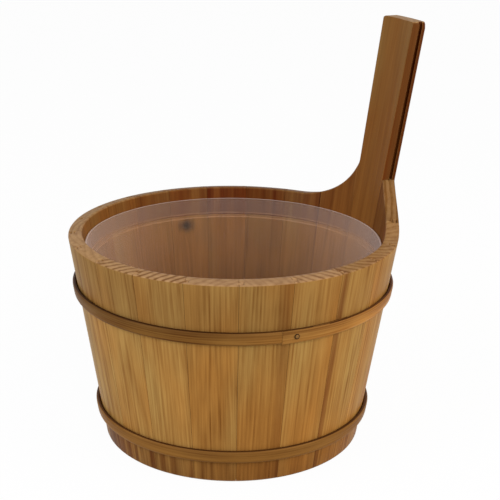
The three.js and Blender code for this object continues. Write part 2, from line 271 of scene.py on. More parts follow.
def planed_face(tree, marks, looks, soft, line, knot_far, colours):
    """Colour of a planed face: early wood, and each layer over the one before."""
    figure = add_node(tree, "Math", {0: line, 1: LINE_WEIGHT}, operation="MULTIPLY")
    for pattern, weight in PATTERN_WEIGHTS.items():
        figure = add_node(tree, "Math", {0: soft[pattern], 1: weight, 2: figure}, operation="MULTIPLY_ADD")
    darkness = add_node(
        tree, "Math", {0: figure, 1: looks["Z"], 2: PLAIN_DARKNESS}, operation="MULTIPLY_ADD"
    )
    warmer = add_node(tree, "Math", {0: soft["warmth"], 1: marks["warmth"]}, operation="ADD")
    warm_share = add_node(tree, "MapRange", {0: warmer, 1: -WARMTH_REACH, 2: WARMTH_REACH})
    knot_edge = add_node(
        tree, "Math", {0: soft["streaks"], 1: KNOT_RAGGED, 2: knot_far}, operation="MULTIPLY_ADD"
    )
    knot_core = add_node(
        tree, "MapRange", {0: knot_edge, 1: KNOT_OUTSIDE, 2: KNOT_INSIDE}, interpolation_type="SMOOTHSTEP"
    )
    soaking = add_node(tree, "Math", {0: soft["streaks"], 1: marks["soak"]}, operation="MULTIPLY")
    soaked = add_node(tree, "Math", {0: soaking, 1: SOAK_CONTRAST, 2: 1}, operation="MULTIPLY_ADD")
    oil_and_shade_mix = add_node(tree, "Math", {0: marks["coat"], 1: soaked}, operation="MULTIPLY", use_clamp=True)
    # The last layer multiplies in the oil and the painted shade
    layers = (
        ("warm", warm_share, "MIX"), ("late", darkness, "MIX"), ("heart", looks["Y"], "MIX"),
        ("knot", knot_core, "MIX"), ("coat", oil_and_shade_mix, "MULTIPLY"),
    )
    face = colours["early"]
    for layer, share, blend in layers:
        inputs = {MIX_SHARE: share, MIX_A: face, MIX_B: colours[layer]}
        face = add_node(tree, "Mix", inputs, data_type="RGBA", blend_type=blend)
    return face


def sawn_end(tree, marks, soft, years, colours):
    """Colour of a sawn end: paler wood, on which the rings show as stripes."""
    wave = add_node(tree, "Math", {0: years, 1: 1.0}, operation="PINGPONG")
    stripe = add_node(
        tree, "MapRange", {0: wave, 1: STRIPE_STARTS, 2: STRIPE_DARKEST}, interpolation_type="SMOOTHSTEP"
    )
    striped = add_node(
        tree, "Math", {0: stripe, 1: marks["stripes"], 2: END_DARKNESS}, operation="MULTIPLY_ADD"
    )
    darkness = add_node(tree, "Math", {0: soft["streaks"], 1: striped}, operation="ADD")
    inputs = {MIX_SHARE: darkness, MIX_A: colours["end_early"], MIX_B: colours["end_late"]}
    return add_node(tree, "Mix", inputs, data_type="RGBA")


print("a planed face is darkened by its rings and its", ", ".join(PATTERN_WEIGHTS))

# %% Pine, ash and spruce
WOOD_MARKS = {
    "Vector": ("grain", "look", "knot"),
    "Fac": ("warmth", "coat", "soak", "ends", "stripes"),
}
SATIN_SPECULAR = 0.03
RELIEF_DEPTH = 0.15 * MM
RELIEF_STRENGTH = 0.2
LATE_RELIEF = 0.5
FIBRE_REACH = 0.3
FIBRE_SHINE = 0.06
FIBRE_DULLNESS = 0.08


def planed_wood(name, ring_width, roughness, **hex_colours):
    """Planed wood: pale early wood, darker late wood rings, fine fibres and soft tone streaks."""
    material, tree = new_material(name)
    colours = {"knot": linear(KNOT_COLOUR)}
    colours.update({part: linear(hex_colour) for part, hex_colour in hex_colours.items()})
    marks = {}
    for output, names in WOOD_MARKS.items():
        for mark in names:
            marks[mark] = add_node(tree, "Attribute", attribute_name=mark).outputs[output]
    looks = add_node(tree, "SeparateXYZ", {0: marks["look"]}).outputs
    knot_far = add_node(tree, "VectorMath", {0: marks["knot"]}, operation="LENGTH")
    soft = soft_patterns(tree, marks["grain"])
    years, late_wood, line = year_rings(tree, marks["grain"], knot_far, soft, ring_width)
    face = planed_face(tree, marks, looks, soft, line, knot_far, colours)
    end = sawn_end(tree, marks, soft, years, colours)
    colour = add_node(tree, "Mix", {MIX_SHARE: marks["ends"], MIX_A: face, MIX_B: end}, data_type="RGBA")
    toned = add_node(tree, "VectorMath", {0: colour, "Scale": looks["X"]}, operation="SCALE")
    relief = add_node(
        tree, "Math", {0: late_wood, 1: LATE_RELIEF, 2: soft["fibres"]}, operation="MULTIPLY_ADD"
    )
    bump = add_node(tree, "Bump", {"Height": relief, "Strength": RELIEF_STRENGTH, "Distance": RELIEF_DEPTH})
    gloss = add_node(tree, "MapRange", {
        0: soft["fibres"], 1: -FIBRE_REACH, 2: FIBRE_REACH,
        3: roughness - FIBRE_SHINE, 4: roughness + FIBRE_DULLNESS,
    })
    surface = add_node(tree, "BsdfPrincipled", {
        "Base Color": toned, "Roughness": gloss, "Specular IOR Level": SATIN_SPECULAR, "Normal": bump,
    })
    add_node(tree, "OutputMaterial", {"Surface": surface})
    return material


# Pine gives the eye golden faces with soft brown lines, and a satin that never shines
stave_wood = planed_wood(
    "Planed and oiled pine", 2.6 * MM, 0.42, early="#b48e4e", warm="#b67f3c", late="#7b4b1c",
    end_early="#af8860", end_late="#643d22", heart="#6b3513", coat="#80491c",
)
# Ash bends well; its rings are narrow, and its long strips look a little browner than the staves
hoop_wood = planed_wood(
    "Bent and oiled ash", 1.7 * MM, 0.42, early="#a5783c", warm="#a06c2e", late="#6a3c14",
    end_early="#a87a48", end_late="#6f451f", heart="#4a2a12", coat="#5a3010",
)
# Spruce without oil stays pale and dull
board_wood = planed_wood(
    "Planed bare spruce", 2.4 * MM, 0.6, early="#c89f66", warm="#c4965c", late="#a67740",
    end_early="#c39c68", end_late="#96703f", heart="#8a5a2c", coat="#7c4a20",
)
print("woods:", stave_wood.name, "/", hoop_wood.name, "/", board_wood.name)

# %% [markdown]
# ## Marking the grain
# A sawmill cuts each stave from another place in the log. A few numbers per piece say where: how far
# the pith is, in which direction it lies, and how dark the piece is. They could be random for all,
# but the staves that the photograph shows have their own tones and dark edges, so those are chosen,
# and the rest are drawn from a seeded random source.

# %% A piece's place in the log
LOG_SEED = 7
LOG_LENGTH = 40
TONES = (0.9, 1.08)
PITH_TURNS = (28, 68)
PITH_DISTANCES = (70, 140)
PLAIN_LOOK = {
    "heart": None, "rings": 1, "knot": None, "coat": 0.75, "pale_end": 0.9, "end_slope": 0.25,
    "stripes": 0.4, "warmth": 0.0, "outside": 1.0,
}
random_log = random.Random(LOG_SEED)


def new_look(tone=None, pith_turn=None, **chosen):
    """A piece's place in the log and its finish; a place that isn't chosen is drawn at random."""
    drawn_tone = random_log.uniform(*TONES)
    drawn_turn = random_log.choice((-1, 1)) * random_log.uniform(*PITH_TURNS)
    place = {
        "tone": drawn_tone if tone is None else tone,
        "pith_turn": math.radians(drawn_turn if pith_turn is None else pith_turn),
        "pith_far": random_log.uniform(*PITH_DISTANCES) * MM,
        "along": random_log.uniform(0, LOG_LENGTH),
    }
    return {**PLAIN_LOOK, **place, **chosen}


print("a plain piece:", PLAIN_LOOK)

# %% Grain attributes
NO_KNOT = Vector((50, 0, 50))
INSIDE_DEPTH = -5 * MM
INSIDE_RINGS = 0.65
INSIDE_WARMTH = 0.4


def heart_share(across, heart):
    """How strong the dark band is at a place across the piece, (middle, half width, strength): heartwood
    and dark joints on the staves, a painted darker upper half on the hoops.
    """
    if heart is None:
        return 0.0
    middle, half_width, strength = heart
    away = min(abs(across - middle * MM) / (half_width * MM), 1)
    return strength * (1 - away * away * (3 - 2 * away))


def tone_at(tone, along):
    """A piece's tone at a place along it: one number, or a list of (millimetres, tone) stops."""
    if not isinstance(tone, list):
        return tone
    for (start, low), (end, high) in zip(tone, tone[1:]):
        if along <= end * MM:
            return low + (high - low) * (along / MM - start) / (end - start)
    return tone[-1][1]


def mark_grain(mesh, look, wood_place, warmth_loss=0.0):
    """Writes the vertex attributes; wood_place gives a point's place across, in depth and along."""
    grain = mesh.verts.layers.float_vector.new("grain")
    looks = mesh.verts.layers.float_vector.new("look")
    knots = mesh.verts.layers.float_vector.new("knot")
    warmths = mesh.verts.layers.float.new("warmth")
    pith = polar(look["pith_far"], look["pith_turn"] - math.pi / 2)
    for vert in mesh.verts:
        across, depth, along = wood_place(vert.co)
        vert[grain] = Vector((across - pith.x, depth - pith.y, along + look["along"]))
        tone = tone_at(look["tone"], along)
        inside = depth < INSIDE_DEPTH
        rings = look["rings"] * (INSIDE_RINGS if inside else 1)
        vert[looks] = Vector((tone, heart_share(across, look["heart"]), rings))
        vert[warmths] = look["warmth"] - warmth_loss * along + (INSIDE_WARMTH if inside else 0)
        vert[knots] = NO_KNOT
        if look["knot"]:
            middle, height, half_width, half_height = look["knot"]
            vert[knots] = Vector((
                (across / MM - middle) / half_width, 0, (along / MM - height) / half_height
            ))


def mark_faces(mesh, mark, share_of):
    """Writes an attribute of the faces; its value comes from a function of the face."""
    layer = mesh.faces.layers.float.new(mark)
    bmesh.ops.recalc_face_normals(mesh, faces=mesh.faces)
    for face in mesh.faces:
        face[layer] = share_of(face)


print(f"wood deeper than {-INSIDE_DEPTH / MM:.0f} mm behind a stave's middle counts as its inside")

# %% [markdown]
# ## From bmesh to piece
# Every piece is finished the same way: faces turned outwards, the mesh moved to the bucket's axis,
# smooth shading with sharp edges kept, and a fine bevel, because no real edge is perfectly sharp.
# The bevel is a modifier rather than part of the mesh, so that the shape stays easy to read.

# %% Finishing a piece
SMOOTH_ANGLE = math.radians(35)
FINE_SEGMENTS = 2
ROUND_SEGMENTS = 3


def only(kind, made):
    """The parts of one kind, such as the faces, among what an operator made."""
    return [part for part in made if isinstance(part, kind)]


def finish_piece(mesh, name, node, body, material, edge_width):
    """Makes an object from a bmesh, in the place of a node of the frame."""
    bmesh.ops.recalc_face_normals(mesh, faces=mesh.faces)
    bmesh.ops.translate(mesh, verts=mesh.verts, vec=AXIS)
    data = bpy.data.meshes.new(name)
    open_edges = sum(not edge.is_manifold for edge in mesh.edges)
    mesh.to_mesh(data)
    mesh.free()
    data.shade_smooth()
    data.set_sharp_from_angle(angle=SMOOTH_ANGLE)
    data.materials.append(material)
    piece = bpy.data.objects.new(name, data)
    bpy.context.collection.objects.link(piece)
    if edge_width:
        bevel = piece.modifiers.new("eased edges", "BEVEL")
        bevel.width = edge_width
        bevel.segments = FINE_SEGMENTS
        bevel.limit_method = "ANGLE"
        bevel.angle_limit = SMOOTH_ANGLE
        bevel.harden_normals = True
    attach(piece, body)
    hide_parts(node)
    print(f"{name}: {len(data.vertices)} vertices, {open_edges} open edges")
    return piece


def raise_faces(mesh, faces, height, keep=False):
    """Extrudes faces upwards and returns the new tops; a loose sheet keeps its old faces as a floor."""
    made = bmesh.ops.extrude_face_region(mesh, geom=faces)["geom"]
    bmesh.ops.translate(mesh, verts=only(bmesh.types.BMVert, made), vec=(0, 0, height))
    if not keep:
        bmesh.ops.delete(mesh, geom=faces, context="FACES")
    return only(bmesh.types.BMFace, made)


def saw_off(mesh, point, away):
    """Saws off what lies beyond a plane, and returns the edges of the cut."""
    made = bmesh.ops.bisect_plane(
        mesh, geom=[*mesh.verts, *mesh.edges, *mesh.faces], plane_co=point, plane_no=away, clear_outer=True
    )
    return only(bmesh.types.BMEdge, made["geom_cut"])


def round_edges(mesh, edges, width):
    """Rounds edges as a hand plane and sandpaper do."""
    bmesh.ops.bevel(
        mesh, geom=edges, offset=width, offset_type="OFFSET", segments=ROUND_SEGMENTS, profile=0.5,
        affect="EDGES", clamp_overlap=True, material=-1,
    )


print(f"edges sharper than {math.degrees(SMOOTH_ANGLE):.0f} degrees are eased")

# %% [markdown]
# ## Staves
# A stave is a board with a curved section, a tongue along one edge and a groove along the other.
# It could be cut out of a block with booleans, but it is simpler to draw its end on the floor: three
# short lines are spun round the axis, and the middle one starts a little later, so that one edge is
# left with a groove and the other with a tongue. That end is raised in steps, and the skin above and
# below the bottom boards is moved inwards, which leaves the groove for the bottom (the croze) between
# them. At last every point leans out with the taper of the bucket.

# %% Stave blanks
GROOVE_DEPTH = 2.8 * MM
GROOVE_WIDTH = 2.8 * MM
GROOVE_FROM_INSIDE = 7.1 * MM
GROOVE_STEPS = 2
TONGUE_EASE = 0.03 * MM
TONGUE_REACH = math.radians(22.5)
CROZE_RADIUS = INSIDE_RADIUS + 4 * MM
CROZE_LOW = board_low.z - FIT
CROZE_HIGH = board_high.z + FIT
GROOVE_NEAR = INSIDE_RADIUS + GROOVE_FROM_INSIDE - GROOVE_WIDTH / 2
GROOVE_FAR = GROOVE_NEAR + GROOVE_WIDTH
# Inner radius, outer radius, and how many steps later a strip starts
SECTION_STRIPS = (
    (CROZE_RADIUS, GROOVE_NEAR, 0),
    (GROOVE_NEAR, GROOVE_FAR, GROOVE_STEPS),
    (GROOVE_FAR, BASE_RADIUS, 0),
)


def stave_section(start, end):
    """The lower end of a stave between two angles, as a flat sheet on the floor."""
    mesh = bmesh.new()
    steps = round((end - start) * BASE_RADIUS / GROOVE_DEPTH * GROOVE_STEPS)
    step = (end - start) / steps
    for near, far, late in SECTION_STRIPS:
        ends = [mesh.verts.new(polar(radius, start + late * step)) for radius in (near, far)]
        line = mesh.edges.new(ends)
        bmesh.ops.spin(
            mesh, geom=[*ends, line], cent=(0, 0, 0), axis=(0, 0, 1), angle=end - start, steps=steps
        )
    bmesh.ops.remove_doubles(mesh, verts=mesh.verts, dist=MERGE)
    return mesh


def line_inside(mesh):
    """Adds the inner skin above and below the croze."""
    wall = [
        face for face in mesh.faces
        if all(vert.co.xy.length < CROZE_RADIUS + MERGE for vert in face.verts)
        and not CROZE_LOW < face.calc_center_median().z < CROZE_HIGH
    ]
    made = bmesh.ops.extrude_face_region(mesh, geom=wall)["geom"]
    narrower = INSIDE_RADIUS / CROZE_RADIUS
    bmesh.ops.scale(mesh, verts=only(bmesh.types.BMVert, made), vec=(narrower, narrower, 1))
    bmesh.ops.delete(mesh, geom=wall, context="FACES")


def slim_tongue(mesh, end):
    """Takes a shaving off the tongue, so that it slides into the next groove."""
    for vert in mesh.verts:
        radius = vert.co.xy.length
        past = math.remainder(angle_of(vert.co) - end, math.tau)
        if MERGE / radius < past < TONGUE_REACH:
            shaved = radius + (TONGUE_EASE if radius < (GROOVE_NEAR + GROOVE_FAR) / 2 else -TONGUE_EASE)
            vert.co = polar(shaved, angle_of(vert.co), vert.co.z)


print(f"croze from {CROZE_LOW / MM:.1f} to {CROZE_HIGH / MM:.1f} mm above the floor")

# %% [markdown]
# ## Sawn tops
# Each stave is sawn off square to its lean, so the rim slopes a little down to its outer edge. Beside
# the handle the cooper saws a round sweep, from the handle down to the rim, each side by its own
# curve: a quarter of an ellipse that ends in a small flat ledge at the handle. The handle's own top is
# level. The top points of a stave sink or rise to that sawn height. Then the rim's long edges are
# rounded by hand, which is a real bevel in the mesh: the joints between staves stay sharp, because the
# outside is planed after the bucket is put together.

# %% Sweeps, taper and rim
HANDLE_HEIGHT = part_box("handle_stave")[1].z
LEFT_SWEEP = {"start": 84 * MM, "reach": 66.5 * MM, "rise": 55 * MM, "ledge": 207 * MM}
RIGHT_SWEEP = {"start": 86.5 * MM, "reach": 81 * MM, "rise": 81 * MM, "ledge": 200 * MM}
SETTLE_ROUNDS = 6
CURVED_FACE = 0.9
SAWN_FACE = 0.5
SAWN_RISE = 0.3


def square_top(point):
    """Height of a plain stave's top, sawn square to its lean."""
    return RIM_HEIGHT + TAPER * (RIM_RADIUS - point.length)


def swept_top(point):
    """Height of the sawn sweep at a distance across the bucket from the handle's middle."""
    sweep = LEFT_SWEEP if point.y > 0 else RIGHT_SWEEP
    share = min(max(sweep["start"] - abs(point.y), 0) / sweep["reach"], 1)
    height = min(RIM_HEIGHT + sweep["rise"] * (1 - math.sqrt(1 - share ** 2)), sweep["ledge"])
    return max(height, square_top(point))


def level_top(point):
    """Height of the handle's top, the same at every point."""
    return HANDLE_HEIGHT


def lean_out(mesh, top, sawn_top):
    """Leans every point out with the taper; the points at the top go to where it was sawn."""
    for vert in mesh.verts:
        base, angle, height = vert.co.xy.length, angle_of(vert.co), vert.co.z
        if height > top - MERGE:
            for _ in range(SETTLE_ROUNDS):
                height = sawn_top(polar(base + TAPER * height, angle))
        vert.co = polar(base + TAPER * height, angle, height)


def end_edges(mesh):
    """The edges between a stave's curved faces and its sawn ends."""
    mesh.normal_update()
    chosen = []
    for edge in mesh.edges:
        middle = (edge.verts[0].co + edge.verts[1].co) / 2
        outwards = polar(1, angle_of(middle))
        slopes = [abs(face.normal.dot(outwards)) for face in edge.link_faces]
        rises = [abs(face.normal.z) for face in edge.link_faces]
        between = len(slopes) == 2 and max(slopes) > CURVED_FACE and min(slopes) < SAWN_FACE
        if between and max(rises) > SAWN_RISE:
            chosen.append(edge)
    return chosen


print("ledges beside the handle:", [f"{sweep['ledge'] / MM:.0f} mm" for sweep in (LEFT_SWEEP, RIGHT_SWEEP)])

# %% [markdown]
# ## Oil and painted shade on the staves
# The staves are oiled, and one mark darkens their faces, partly as oil and partly as painted shade. The
# inside is painted darker, as the shade inside the bucket, and so are the edges and the groove, which
# show on the handle; behind the liner less of that painted shade is laid on. The band above the upper
# hoop is a little darker than the wall, and the foot, which stands on wet floors, is darker still,
# partly as painted shade near the floor and partly as stains, which run in streaks. One colour for a
# whole stave would miss this, so its faces carry their own share; the staves are cut at the hoops and
# at the liner's step, where those changes lie hidden.

# %% Coats of oil and painted shade
# The foot is painted darker, partly as shade near the floor and partly as stain
FOOT_SHADE_AND_STAIN = 0.42
FOOT_SOAK = 0.45
INSIDE_SOAK = 0.1
BRIM_COAT = 0.24
# How much of the inside's painted shade is laid on behind the liner
LINED_SHARE = 0.48
LINED_HEIGHT = 145 * MM
# Painted shade on a stave's edges, darker in the groove and on the lip beyond it
EDGE_SHADE = 0.88
GROOVE_SHADE = 0.95
FACING = 0.5
FOOT_TOP, BRIM_BOTTOM = (
    sum(corner.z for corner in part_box(hoop)) / 2 for hoop in ("lower_hoop", "upper_hoop")
)


def is_end(face, look):
    """True for a sawn end, level or swept."""
    return abs(face.normal.z) > look["end_slope"]


def facing_out(face):
    """1 for a face that looks straight out from the axis, -1 for one that looks at it."""
    return face.normal.dot(polar(1, angle_of(face.calc_center_median())))


def coat_share(face, look):
    """How dark a face is painted: oil on the ends, a darker brim, painted shade inside, on the edges and in
    the groove, and painted shade with stain at the foot.
    """
    middle = face.calc_center_median()
    base = middle.xy.length - TAPER * middle.z
    if is_end(face, look):
        return look["coat"] * (1 - look["pale_end"])
    # Faces in the groove's band, groove and tongue alike, get painted shade
    if GROOVE_NEAR - MERGE < base < GROOVE_FAR + MERGE:
        return GROOVE_SHADE
    # Outside: a darker brim, and at the foot painted shade near the floor with stain
    if facing_out(face) > FACING:
        coat = FOOT_SHADE_AND_STAIN if middle.z < FOOT_TOP else BRIM_COAT if middle.z > BRIM_BOTTOM else 0
        return look["outside"] * coat
    # Inside: painted shade, the darkness inside the bucket
    if facing_out(face) < -FACING:
        return look["coat"] * (LINED_SHARE if middle.z < LINED_HEIGHT else 1)
    # The edges get painted shade, the lip beyond the groove more
    return EDGE_SHADE if base < GROOVE_NEAR else GROOVE_SHADE


def soak_share(face):
    """How unevenly oil and water soaked into a face: most at the foot, some on the inside."""
    if face.calc_center_median().z < FOOT_TOP:
        return FOOT_SOAK
    return INSIDE_SOAK if facing_out(face) < -FACING else 0.0


def mark_oil_and_shade(mesh, look):
    """Marks the faces of a stave with their oil and painted shade, and its pale sawn ends."""
    mark_faces(mesh, "coat", lambda face: coat_share(face, look))
    mark_faces(mesh, "ends", lambda face: look["pale_end"] if is_end(face, look) else 0.0)
    mark_faces(mesh, "soak", soak_share)
    mark_faces(mesh, "stripes", lambda face: look["stripes"])


print(f"the foot ends at {FOOT_TOP / MM:.1f} mm and the brim starts at {BRIM_BOTTOM / MM:.1f} mm")

# %% [markdown]
# ## From blank to stave
# Every stave goes through the same steps: its end is drawn and raised, it is lined, slimmed and leaned
# out, and then it is rounded, marked with its oil and painted shade, and marked with its grain. A row of
# copies would be quicker, but then all would share one grain. Towards the rim the wood grows less red,
# as the photograph shows.

# %% Staves from floor to rim
JOINT_GAP = 0.16 * MM
JOINT_EASE = 0.2 * MM
RIM_EASE = 1.2 * MM
WARMTH_LOSS = 1.8
STAVE_LEVELS = (CROZE_LOW, CROZE_HIGH, FOOT_TOP, BRIM_BOTTOM, LINED_HEIGHT)


def make_blank(start, end, levels, sawn_top):
    """A stave between two angles, raised through some levels to its sawn top."""
    half_gap = JOINT_GAP / 2 / BASE_RADIUS
    mesh = stave_section(start + half_gap, end - half_gap)
    tops = raise_faces(mesh, mesh.faces[:], levels[0], keep=True)
    for low, high in zip(levels, levels[1:]):
        tops = raise_faces(mesh, tops, high - low)
    line_inside(mesh)
    slim_tongue(mesh, end - half_gap)
    lean_out(mesh, levels[-1], sawn_top)
    bmesh.ops.recalc_face_normals(mesh, faces=mesh.faces)
    return mesh


def finish_stave(mesh, node, middle, look):
    """Marks a stave's oil and painted shade, and its grain from its middle line, and puts it in its place.
    """
    def wood_place(point):
        radius = point.xy.length
        across = math.remainder(angle_of(point) - middle, math.tau) * radius
        return across, radius - outer_radius(point.z) + WALL / 2, point.z

    mark_oil_and_shade(mesh, look)
    mark_grain(mesh, look, wood_place, WARMTH_LOSS)
    return finish_piece(mesh, f"{node}_oiled", node, "bucket", stave_wood, JOINT_EASE)


def make_stave(node, start, end, look, sawn_top=square_top):
    """One stave of the wall, from the floor to the rim."""
    mesh = make_blank(start, end, (*STAVE_LEVELS, RIM_HEIGHT), sawn_top)
    round_edges(mesh, end_edges(mesh), RIM_EASE)
    return finish_stave(mesh, node, (start + end) / 2, look)


print("a stave is cut at", [f"{level / MM:.1f} mm" for level in STAVE_LEVELS])

# %% [markdown]
# ## The wall
# Eight staves are seen from outside in the photograph and ten close the far side. The right edge
# of the handle is where the count starts. Tones follow the photograph from stave to stave, some with
# a darker heartwood edge. The same tone for all would look like one pipe, not like a bucket of boards.

# %% Plain and swept staves
HANDLE_HALF_ANGLE = math.radians(9.1)
LEFT_SHOULDER_END = math.radians(27)
RIGHT_SHOULDER_END = math.radians(-24.4)
FRONT_STAVE_ANGLE = math.radians(17.58)
FRONT_LOOKS = [
    new_look(tone=1.07, pith_turn=52, warmth=0.12, pale_end=0.35, stripes=0.5, outside=0.7),
    new_look(tone=1.05, pith_turn=44, warmth=0.14, pale_end=0.35, stripes=0.8, outside=0.7),
    new_look(
        tone=0.97, pith_turn=50, warmth=0.16, heart=(-16, 5, 0.7), pale_end=0.45, stripes=0.8, outside=0.75
    ),
    new_look(tone=0.95, pith_turn=56, warmth=0.18, rings=0.8, pale_end=0.85, stripes=0.5, outside=0.85),
    new_look(tone=0.85, pith_turn=66, warmth=0.2, heart=(14, 7, 0.35), rings=0.9, stripes=0.15),
    new_look(tone=0.87, pith_turn=-38, warmth=0.18, stripes=0.2),
    new_look(tone=1.0, pith_turn=-56, warmth=0.14, rings=0.9, pale_end=0.8, stripes=0.85, outside=1.3),
    new_look(tone=1.02, pith_turn=-48, warmth=0.08, pale_end=0.7, stripes=0.8, outside=1.45),
]
# Place across and along its stave, half width and half height, in millimetres
KNOT = (3.4, 136.8, 6.6, 5.6)
# On the back staves the coat is painted shade on the inside and oil on the sawn end
BACK_LOOKS = [
    new_look(tone=1.06, pith_turn=14, pale_end=0.55, stripes=0.25, outside=1.6),
    new_look(tone=1.0, pith_turn=-8, pale_end=0.65, stripes=0.3),
    new_look(tone=0.95, pith_turn=10, pale_end=0.5, coat=0.5, stripes=0.5),
    new_look(pale_end=0.4, coat=0.55),
    new_look(pale_end=0.3, coat=0.65),
    new_look(pale_end=0.2, coat=0.75),
    new_look(pale_end=0.1, coat=0.8, knot=KNOT),
    new_look(pale_end=0.1, coat=0.9),
    new_look(pale_end=0.1, coat=0.88),
    new_look(pale_end=0.1, coat=0.78, heart=(-17.4, 1.6, 1.0)),
]

front_end = RIGHT_SHOULDER_END - len(FRONT_LOOKS) * FRONT_STAVE_ANGLE
back_stave_angle = (math.tau + front_end - LEFT_SHOULDER_END) / len(BACK_LOOKS)
for i, look in enumerate(FRONT_LOOKS):
    stave_end = RIGHT_SHOULDER_END - i * FRONT_STAVE_ANGLE
    sawn_top = swept_top if i == 0 else square_top
    make_stave(f"front_stave_{i + 1}", stave_end - FRONT_STAVE_ANGLE, stave_end, look, sawn_top)
for i, look in enumerate(BACK_LOOKS):
    stave_end = front_end - i * back_stave_angle
    sawn_top = swept_top if i == len(BACK_LOOKS) - 1 else square_top
    make_stave(f"back_stave_{i + 1}", stave_end - back_stave_angle, stave_end, look, sawn_top)
left_look = new_look(tone=1.0, coat=0.7, pale_end=0.1, warmth=0.1)
right_look = new_look(tone=0.8, pith_turn=4, coat=0.7, pale_end=0.3, stripes=1.2, warmth=0.1)
make_stave("left_shoulder_stave", HANDLE_HALF_ANGLE, LEFT_SHOULDER_END, left_look, swept_top)
make_stave("right_shoulder_stave", RIGHT_SHOULDER_END, -HANDLE_HALF_ANGLE, right_look, swept_top)

# %% [markdown]
# ## Handle
# The handle is a stave that simply goes on upwards, as wide as its place in the wall asks, so it
# grows a little wider towards its top. Its groove stays open along the right edge and its tongue
# along the left. It could be rounded with one big bevel, but tongue and groove would get in its way:
# the two top corners are sawn off in a few flat cuts that together read as round, and then every edge
# above the shoulders is eased, because a hand holds it there.

# %% Handle stave
TOP_CORNER = 4 * MM
CORNER_CUTS = 3
HANDLE_EASE = 1.6 * MM


def round_top_corners(mesh):
    """Saws the two corners off the handle's top, each with a few flat cuts round a small circle."""
    half_width = (outer_radius(HANDLE_HEIGHT) - WALL / 2) * math.sin(HANDLE_HALF_ANGLE)
    for side in (Vector((0, -1, 0)), Vector((0, 1, 0))):
        centre = (HANDLE_HEIGHT - TOP_CORNER) * upright + (half_width - TOP_CORNER) * side
        for i in range(1, CORNER_CUTS + 1):
            turn = math.pi / 2 * i / (CORNER_CUTS + 1)
            away = math.sin(turn) * upright + math.cos(turn) * side
            bmesh.ops.holes_fill(mesh, edges=saw_off(mesh, centre + TOP_CORNER * away, away))


def grip_edges(mesh):
    """The sharp outer edges above the ledges of the two sweeps."""
    mesh.normal_update()
    chosen = []
    for edge in mesh.edges:
        low = min(edge.verts, key=lambda vert: vert.co.z).co
        ledge = (LEFT_SWEEP if low.y > 0 else RIGHT_SWEEP)["ledge"]
        if low.z > ledge - MERGE and edge.is_convex and edge.calc_face_angle(0) > SMOOTH_ANGLE:
            chosen.append(edge)
    return chosen


def make_handle(look):
    """The handle stave, from the floor to its top."""
    levels = (*STAVE_LEVELS, RIGHT_SWEEP["ledge"], LEFT_SWEEP["ledge"], HANDLE_HEIGHT)
    mesh = make_blank(-HANDLE_HALF_ANGLE, HANDLE_HALF_ANGLE, levels, level_top)
    round_top_corners(mesh)
    bmesh.ops.recalc_face_normals(mesh, faces=mesh.faces)
    round_edges(mesh, grip_edges(mesh), HANDLE_EASE)
    return finish_stave(mesh, "handle_stave", 0, look)


make_handle(
    new_look(tone=0.95, pith_turn=20, rings=0.45, coat=0.58, pale_end=0.5, end_slope=0.8, warmth=0.12)
)

# %% [markdown]
# ## Hoops
# A wooden hoop is a straight strip, rounded on its outer edges, steamed and bent once round the
# staves; its thinned ends lie over each other and a nail holds them. It could be spun, but a spin
# can't overlap itself, so the strip is made straight, cut into short lengths and bent, just as the
# real one is. The grain is marked while it is straight, and so follows the bend. Its upward faces are
# painted dark, as the shade in the crease between hoop and staves, which draws a dark line above it,
# and its upper half is painted darker than its lower.

# %% Hoop strips
HOOP_THICKNESS = 3.4 * MM
HOOP_HEIGHT = 10.6 * MM
HOOP_ROUNDING = 2.4 * MM
HOOP_SQUARE_SHARE = 0.45
HOOP_ROUND_STEPS = 5
HOOP_GAP_SHARE = 0.3
HOOP_GAP_DEPTH = 2.5 * MM
HOOP_CUTS = 180


def hoop_outline():
    """Half round section of the strip: (share of the thickness, height); its upper back edge stands off."""
    corner = []
    for i in range(HOOP_ROUND_STEPS + 1):
        turn = math.pi / 2 * i / HOOP_ROUND_STEPS
        out = HOOP_SQUARE_SHARE + (1 - HOOP_SQUARE_SHARE) * math.sin(turn)
        corner.append((out, HOOP_ROUNDING * (1 - math.cos(turn))))
    mirrored = [(out, HOOP_HEIGHT - height) for out, height in reversed(corner)]
    return [(0, 0), *corner, *mirrored, (HOOP_GAP_SHARE, HOOP_HEIGHT), (0, HOOP_HEIGHT - HOOP_GAP_DEPTH)]


def make_strip():
    """A straight strip of unit length, cut into short lengths."""
    mesh = bmesh.new()
    section = mesh.faces.new([mesh.verts.new((0, out, height)) for out, height in hoop_outline()])
    far_end = only(bmesh.types.BMVert, bmesh.ops.extrude_face_region(mesh, geom=[section])["geom"])
    bmesh.ops.translate(mesh, verts=far_end, vec=(1, 0, 0))
    long_edges = [edge for edge in mesh.edges if edge.verts[0].co.x != edge.verts[1].co.x]
    bmesh.ops.subdivide_edges(mesh, edges=long_edges, cuts=HOOP_CUTS)
    return mesh


print(f"strips {HOOP_HEIGHT / MM:.1f} mm high and {HOOP_THICKNESS / MM:.1f} mm thick")

# %% Bent hoops
HOOP_EASE = 0.2 * MM
LAP_ANGLE = math.radians(26)
LAP_TIP = 0.2 * MM
LAP_GAP = 0.1 * MM
# Upward faces of a strip get painted shade, the dark line in the crease between hoop and staves
TOP_SLOPE = 0.6
TOP_SHADE = 0.78
HOOP_TURN = math.tau + LAP_ANGLE
UPPER_HOOP = {"bottom": 119.8 * MM, "lap_end": math.radians(-98), "nail": math.radians(-93.1)}
LOWER_HOOP = {"bottom": 18.4 * MM, "lap_end": math.radians(96.6), "nail": math.radians(101.5)}


